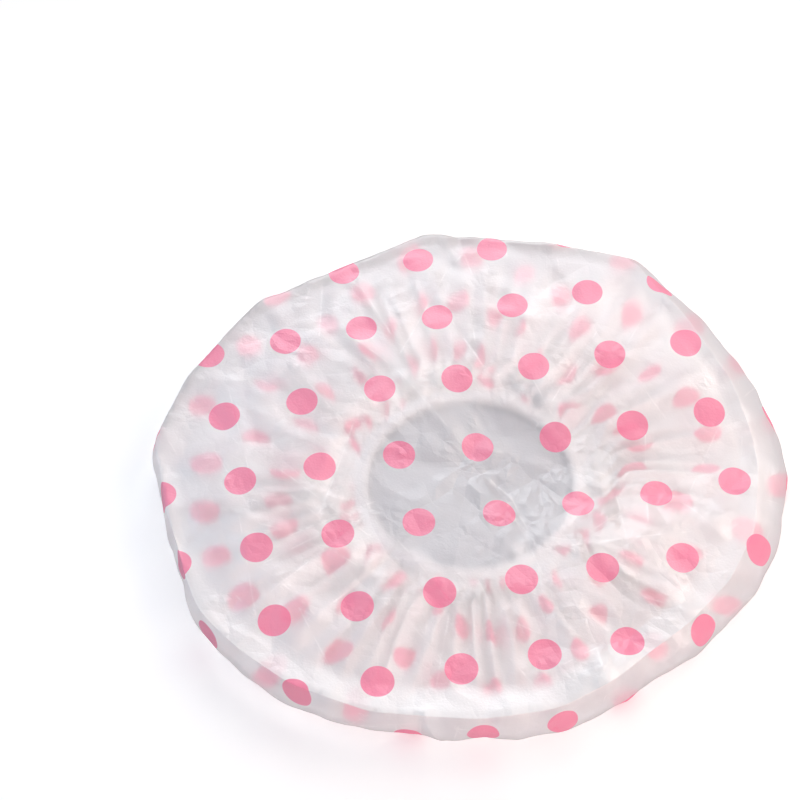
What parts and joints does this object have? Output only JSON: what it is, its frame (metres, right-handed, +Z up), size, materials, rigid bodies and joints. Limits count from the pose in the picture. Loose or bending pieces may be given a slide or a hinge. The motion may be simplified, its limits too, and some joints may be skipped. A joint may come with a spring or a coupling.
{
  "type": "shower cap",
  "caption": "Shower cap of thin milky film printed with pink dots, lying crown up, its skirt gathered into a white bound elastic mouth.",
  "frame": {"origin": "below the middle of the cap's outline, on the surface it lies on", "axes": "+Z up out of the crown, +X to the right across the longest way, -Y to the front"},
  "size_m": [0.284, 0.258, 0.0289],
  "materials": {
    "film": "thin milky soft film, satin, see-through, printed with pink dots",
    "tape": "white knitted binding tape",
    "elastic": "white braided elastic",
    "thread": "white sewing thread"
  },
  "bodies": {
    "root": {"printed_film": "film", "binding_tape": "tape", "elastic_band": "elastic", "needle_thread": "thread", "bobbin_thread": "thread", "binding_join_tab": "tape", "join_tack_thread": "thread"}
  },
  "joints": []
}
